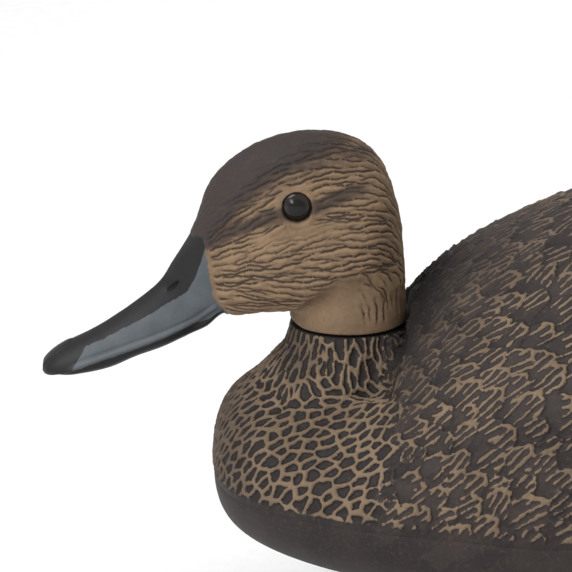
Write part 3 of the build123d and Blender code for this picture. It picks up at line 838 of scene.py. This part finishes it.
def soften_body(skin):
    """Rounds off the CAD form at the breast, round the neck and at the rump."""
    # bolt, bush, drain plug and screws close the shells' holes, but stay out of the shells' own skin
    x, y, z = skin.points.T
    reach = np.hypot(x, y)
    in_seat = (reach < SEAT_REACH) & (z > SEAT_Z)
    skin.points[:, 2] = np.where(in_seat, SEAT_Z, np.maximum(z, HULL_LOW))
    at_drain = np.hypot(x, y - DRAIN_Y) < DRAIN_REACH
    skin.points[at_drain, 2] = np.maximum(z[at_drain], DRAIN_LOW)
    below_collar = np.clip(ramp(z, -2.0, -5) + (reach > 24), 0, 1)
    front = ramp(reach, 62, 44) * ramp(z, -60, -45) * ramp(y, 14, 4)
    skin.smooth(front * below_collar, 50)
    rear = ramp(reach, 52, 40) * ramp(z, -50, -40) * ramp(y, 4, 14) * (reach > 21.5)
    skin.smooth(rear * below_collar, 14)
    rump = ramp(y, 40, 60) * ramp(z, SEAM_Z, SEAM_Z + 12)
    skin.smooth(rump * 0.9, 12)


def lower_shoulders(skin):
    """The shoulders drop away beside the neck, and the mantle rises less steeply behind the head."""
    x, y, z = skin.points.T
    reach = np.hypot(x, y)
    beside = np.where(z > -1.2, reach > 20, ramp(reach, 20.5, 23))
    beside = beside * ramp(np.abs(x), 70, 45) * ramp(y, -6, 6) * ramp(z, -45, -30)
    back = np.maximum(y - 14.5, 0)
    shoulder = -23.5 + 0.28 * (np.abs(x) - 13) + 4.6 * back + 0.10 * back**2
    shoulder = np.where(reach < 23, np.maximum(shoulder, -1.2), shoulder)
    skin.points[:, 2] -= np.clip(z - shoulder, 0, 9) * beside
    skin.write()
    mantle = ramp(y, 14, 24) * ramp(y, 190, 90) * ramp(z, -14, 12)
    skin.points[:, 2] -= (2.3 + 1.2 * ramp(y, 34, 62)) * mantle
    skin.write()


def shape_feather_groups(skin):
    """Side pockets below, scapulars above, and the folded wing between; a slim throat."""
    x, y, z = skin.points.T
    reach = np.hypot(x, y)
    throat = bell(z, -21, 7) * ramp(y, -14, -24)
    channel = bell(reach, 23.4, 3.0) * ramp(y, 3, 12) * ramp(z, -32, -20) * ramp(z, 0.5, -3.5)
    outside = ramp(np.abs(x), 12, 30)
    pocket = ramp(z, pocket_line(y) + 1.0, pocket_line(y) - 1.2) * ramp(y, 30, 60) * ramp(y, 200, 170)
    cape = ramp(z, cape_line(y) - 1.2, cape_line(y) + 1.0) * ramp(y, 60, 90) * ramp(y, 204, 190)
    skin.push(-4.2 * channel + 2.4 * (pocket * outside) + 2.0 * cape - 1.2 * throat)
    behind_neck = ramp(reach, 54, 40) * ramp(y, -14, -2) * ramp(z, -50, -40)
    skin.smooth(behind_neck * (reach > 21.2) * ramp(z, 2, -2) * 0.8, 10)
    skin.smooth(behind_neck * ramp(reach, 20.3, 21.5) * ramp(reach, 36, 30) * ramp(z, -4, -9) * 0.9, 40)


class BodyPlan:
    """Where the kinds of plumage lie on the body, for every point of its skin before the carving."""

    def __init__(self, skin):
        x, y, z = skin.points.T
        up = skin.normals[:, 2]
        self.reach = np.hypot(x, y)
        wider = 0.45 * np.maximum(-z - 16, 0)
        self.neck = ramp(self.reach + wider, 40, 31) * ramp(z, -32, -23) * ramp(y, 22, 14)
        self.neck = self.neck * ramp(up, 0.85, 0.60)
        # the change from the breast's net to the feathers of shoulder and back
        depth = np.clip(-26 - z, 0, 20)
        self.scaly = ramp(y + 5 * waves(skin.points, 12, 25) + 0.25 * (z + 30) + 0.8 * depth, 12, 24)
        self.fade = ramp(z, SEAM_Z + 1, SEAM_Z + 4)
        facing_out = (skin.normals[:, 0] * x + skin.normals[:, 1] * y) / np.maximum(self.reach, 1)
        inside_seat = (self.reach < 22.5) & (z > -3) & (y < 22) & ((facing_out < -0.1) | (up > 0.75))
        self.inside_seat = skin.blurred(inside_seat.astype(float), 2) > 0.3
        outside_seat = np.where(self.reach > 23, 1, ramp(z, 2.5, -1.5))
        self.carved = self.fade * outside_seat * ~self.inside_seat


def body_flow(skin, plan):
    """Flow of the plumage: down the neck, up and back over breast and shoulder, then level to the tail."""
    x, y, _ = skin.points.T
    reach = np.maximum(plan.reach, 1)
    tilt = np.radians(np.interp(y, TILT_Y, TILT)) + 0.14 * waves(skin.points, 34, 21)
    back = np.stack([0.12 * waves(skin.points, 40, 22), np.cos(tilt), np.sin(tilt)], 1)
    down = np.stack([0.35 * x / reach, 0.35 * y / reach, -np.ones(len(x))], 1)
    return down * plan.neck[:, None] + back * (1 - plan.neck)[:, None]


def lay_net(skin, plan, flow, size):
    """Distance from the ridges of the net on neck and breast."""
    _, y, z = skin.points.T
    breast = ramp(y, -24, -40) * (1 - plan.neck)
    length = (4.7 + 3.0 * plan.neck) * size
    width = (3.15 - 0.65 * plan.neck - 0.5 * breast) * size
    net = Plumage(skin, flow, length, width, NET_SEED)
    places = np.flatnonzero((z > SEAM_Z - 2) & (y < 34))
    centres = net.centres(net.random.permutation(places))
    return skin.blurred(net.cells(centres))


def lay_scales(skin, flow, size):
    """The overlapping feathers of shoulder and back, long ones on wing tips and tail, laid from the front."""
    _, y, z = skin.points.T
    wing = wing_mask(skin.points)
    tail = ramp(y, 236, 250)
    length = 6.2 + 2.8 * ramp(y, 16, 60) + 2.4 * ramp(y, 60, 130)
    length = length + (15 - length) * wing + (24 - length) * tail
    width = 4.6 + 1.9 * ramp(y, 16, 60) + 2.2 * ramp(y, 60, 130)
    width = width + (5.5 - width) * wing + (7.5 - width) * tail
    scales = Plumage(skin, flow, length * size, width * size, SCALE_SEED)
    places = np.flatnonzero((z > SEAM_Z - 2) & (y > -10))
    progress = y[places] + 5 * scales.random.normal(size=len(places))
    return scales.shingles(scales.centres(places[np.argsort(progress)]))


def body_relief(skin, plan, ridge, feathers, rough):
    """Height of the relief: the net's ridges, the feathers' tips, rims and barbs, and the bonded seam."""
    _, y, z = skin.points.T
    tipward, outward, rim, barb, _ = feathers
    lift = 0.75 + 0.65 * ramp(y, 60, 120)
    tips = lift * (0.5 + 0.5 * np.clip(tipward, -1, 1)) - 0.25 * lift * ramp(outward, 0.92, 1.0)
    tips += (0.50 * rim + 0.50 * barb) * (1 - 0.45 * ramp(z, 10, 40))
    net = 1.0 * ridge + 0.10 * rough
    relief = net * (1 - plan.scaly) + tips * plan.scaly
    seam = 0.4 * bell(z, SEAM_Z, 0.6)
    return (relief - 0.4) * plan.carved - seam


def paint_body(skin, plan, ridge, feathers):
    """Stores the masks of the body's paint."""
    _, y, z = skin.points.T
    tipward, _, rim, barb, luck = feathers
    brush = np.maximum(ridge * (1 - plan.scaly), np.maximum(rim, 0.92 * barb) * plan.scaly)
    behind_neck = ramp(plan.reach, 72, 38) * ramp(y, 12, 20)
    # the crease at the neck's foot, darkened as painted shade
    crease = bell(plan.reach, 25.5, 3.2) * bell(z, -20, 5) * ramp(y, -10, 4)
    # the tan is fainter high on the back, behind the neck and at the breast's front, and is held back in the
    # crease as part of the painted shade there
    strength = 0.95 - 0.40 * ramp(z, 14, 50) - 0.75 * behind_neck - 0.55 * ramp(y, -26, -44)
    strength -= 0.40 * bell(plan.reach, 20, 7) * ramp(y, -4, -16) * ramp(z, -30, -14)
    strength -= 0.45 * crease
    # painted shade: darker between the net's ridges, at the feather roots and in the crease
    between_ridges = (1 - ridge) * (1 - plan.scaly) * 0.45
    feather_roots = plan.scaly * ramp(tipward, 0.15, -0.6) * 0.6
    hollow = between_ridges + feather_roots + 0.5 * crease
    shade = 0.95 * bell(plan.reach, 28, 11) * ramp(y, 10, 18) * ramp(z, -38, -16)
    seat = np.maximum(plan.inside_seat, (plan.reach < 22.6) * ramp(z, -0.5, 0.5))
    skin.paint(
        brush=skin.blurred(brush * plan.carved),
        strength=np.clip(strength, 0.06, 1),
        hollow=np.clip(hollow * plan.fade, 0, 1),
        luck=luck * plan.scaly,
        shade=np.clip(np.maximum(shade, seat), 0, 1),
    )


def carve_body(skin):
    """Shapes the body, then lays the plumage: a net on neck and breast, overlapping feathers behind."""
    soften_body(skin)
    lower_shoulders(skin)
    shape_feather_groups(skin)

    skin = refined(skin, BODY_FINE)
    plan = BodyPlan(skin)
    flow = body_flow(skin, plan)
    size = 1 + 0.14 * waves(skin.points, 26, 23)
    edge = lay_net(skin, plan, flow, size)
    feathers = lay_scales(skin, flow, size)
    rough = waves(skin.points, 3.0, 24, 4)
    ridge = ramp(edge + 0.20 * rough + 0.10 * plan.neck, 1.00, 0.36)
    skin.push(skin.blurred(body_relief(skin, plan, ridge, feathers, rough)))
    paint_body(skin, plan, ridge, feathers)
    return skin


def split_at_seam(piece):
    """Cuts the body at the waterline into the upper shell and the hull, each closed by a flat face there."""
    parts = []
    for name, above in (("decoy_back", True), ("decoy_hull", False)):
        bm = bmesh.new()
        bm.from_mesh(piece.data)
        cut = bmesh.ops.bisect_plane(
            bm,
            geom=bm.verts[:] + bm.edges[:] + bm.faces[:],
            plane_co=(0, 0, (SEAM_Z + NECK[2]) * MM),
            plane_no=(0, 0, 1),
            clear_inner=above,
            clear_outer=not above,
        )
        rim = [e for e in cut["geom_cut"] if isinstance(e, bmesh.types.BMEdge)]
        bmesh.ops.edgenet_fill(bm, edges=rim)
        parts.append(linked(name, mesh_of(name, bm)))
    bpy.data.objects.remove(piece)
    return parts


def add_body():
    meshes = cad_meshes("upper_body", "hull", "neck_bush", "swivel_bolt", "drain_plug", "keel_screws")
    whole = carve_body(Skin(remeshed("decoy_body", meshes, BODY_COARSE))).piece
    paint = body_material()
    whole.data.materials.append(paint)
    upper, hull = split_at_seam(whole)
    for piece, slot, node in ((upper, "body_plastic", "upper_body"), (hull, "hull_plastic", "hull")):
        if not piece.data.materials:
            piece.data.materials.append(paint)
        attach(piece, "body")
        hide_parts(node)


# ---- CAD pieces that keep their shape
EYE_ROUGHNESS = 0.15
# node: name of its material, colour, roughness and, for metals, how metallic
PLAIN_LOOKS = {
    "keel": ("keel_plastic", srgb(66, 58, 52), 0.5),
    "keel_cap": ("cap_rubber", srgb(36, 35, 35), 0.7),
    "keel_gasket": ("gasket_rubber", srgb(40, 38, 37), 0.8),
    "keel_screws": ("screw_steel", (0.55, 0.55, 0.53), 0.32, 1.0),
    "ballast_bar": ("ballast_steel", (0.32, 0.30, 0.29), 0.5, 1.0),
    "neck_bush": ("bush_nylon", srgb(222, 218, 208), 0.45),
    "friction_washer": ("washer_rubber", srgb(34, 33, 33), 0.75),
    "neck_plug": ("plug_plastic", srgb(48, 46, 45), 0.5),
    "swivel_bolt": ("bolt_steel", (0.6, 0.6, 0.58), 0.28, 1.0),
    "swivel_spring": ("spring_steel", (0.45, 0.45, 0.46), 0.3, 1.0),
}
# these look like another node
ALIKE = {
    "right_eye": "left_eye",
    "drain_plug": "keel_cap",
    "bush_seal": "friction_washer",
    "flat_washer": "swivel_bolt",
    "spring_seat": "swivel_bolt",
    "lock_nut": "swivel_bolt",
}


def eye_material():
    """Near-black gloss, a little lighter in a ring round the pupil."""
    paint = Paint("eye_gloss", EYE_ROUGHNESS)
    centre = (EYE + NECK) * MM
    split = paint.node("ShaderNodeSeparateXYZ")
    paint.put(split.inputs[0], paint.node("ShaderNodeTexCoord").outputs["Object"])
    from_side = paint.node("ShaderNodeCombineXYZ")
    paint.put(from_side.inputs[1], split.outputs[1])
    paint.put(from_side.inputs[2], split.outputs[2])
    distance = paint.node("ShaderNodeVectorMath", operation="DISTANCE")
    paint.put(distance.inputs[0], from_side.outputs[0])
    distance.inputs[1].default_value = (0, centre[1], centre[2])
    radius = paint.math("DIVIDE", distance.outputs["Value"], MM)
    pupil = paint.step(radius, 2.6, 3.4)
    rim = paint.step(radius, 4.2, 4.8)
    color = paint.mix(pupil, (0.006, 0.005, 0.005), (0.022, 0.016, 0.012))
    color = paint.mix(rim, color, (0.004, 0.004, 0.004))
    return paint.finish(color)


def dress_cad_nodes():
    """Gives every CAD node that stays as it is its material."""
    looks = {node: plain_material(*look) for node, look in PLAIN_LOOKS.items()}
    looks["left_eye"] = eye_material()
    for node, as_node in ALIKE.items():
        looks[node] = looks[as_node]
    for node, material in looks.items():
        data = frame["nodes"][node].data
        data.materials.clear()
        data.materials.append(material)


# ---- camera, stage and lights
# Places, distances and sizes in this section are metres, but for the camera's aim.
CAMERA_AZIMUTH, CAMERA_ELEVATION = math.radians(90), math.radians(17)
CAMERA_DISTANCE = 1.5
CAMERA_AIM = (0, -20.5, 11.6)  # mm from the swivel
PICTURE_WIDTH = 0.1888  # at the camera's aim
SENSOR_WIDTH = 36
FLOOR_RADIUS = 30
WORLD_STRENGTH = 0.66
LIGHT_AIM = (0, -0.1, 0.1)
# name, place, size and power in watts
LIGHTS = (
    ("key", (0.7, -1.0, 1.5), 1.1, 19),
    ("fill", (-1.3, 0.6, 1.0), 1.2, 8),
    ("catchlight", (1.25, -0.8, 0.58), 0.3, 2.2),
)


def look_at(obj, target):
    obj.rotation_euler = (Vector(target) - obj.location).to_track_quat("-Z", "Y").to_euler()


def add_camera():
    """A long lens on the duck's left side, framing the head, the neck and the front of the back."""
    target = Vector(NECK + CAMERA_AIM) * MM
    flat = math.cos(CAMERA_ELEVATION)
    right, ahead = math.sin(CAMERA_AZIMUTH) * flat, math.cos(CAMERA_AZIMUTH) * flat
    away = Vector((right, -ahead, math.sin(CAMERA_ELEVATION)))
    camera = linked("camera", bpy.data.cameras.new("camera"))
    camera.location = target + away * CAMERA_DISTANCE
    look_at(camera, target)
    camera.data.sensor_width = SENSOR_WIDTH
    camera.data.lens = SENSOR_WIDTH * CAMERA_DISTANCE / PICTURE_WIDTH
    camera.data.clip_start = 0.05
    camera.data.clip_end = 30
    bpy.context.scene.camera = camera


def add_light(name, place, size, power):
    data = bpy.data.lights.new(name, "AREA")
    data.shape = "DISK"
    data.size = size
    data.energy = power
    light = linked(name, data)
    light.location = place
    look_at(light, LIGHT_AIM)


def add_floor():
    bm = bmesh.new()
    bmesh.ops.create_circle(bm, cap_ends=True, radius=FLOOR_RADIUS, segments=96)
    floor = linked("floor", mesh_of("floor", bm))
    floor.data.materials.append(plain_material("floor_paper", (0.9, 0.9, 0.9), 0.9, speckle=0.005))


def add_stage():
    add_floor()
    world = bpy.data.worlds.new("world")
    world.use_nodes = True
    background = world.node_tree.nodes["Background"]
    background.inputs["Color"].default_value = (1, 1, 1, 1)
    background.inputs["Strength"].default_value = WORLD_STRENGTH
    bpy.context.scene.world = world
    for light in LIGHTS:
        add_light(*light)
    bpy.context.scene.view_settings.view_transform = "Standard"


add_camera()
add_stage()
dress_cad_nodes()
add_head()
add_body()
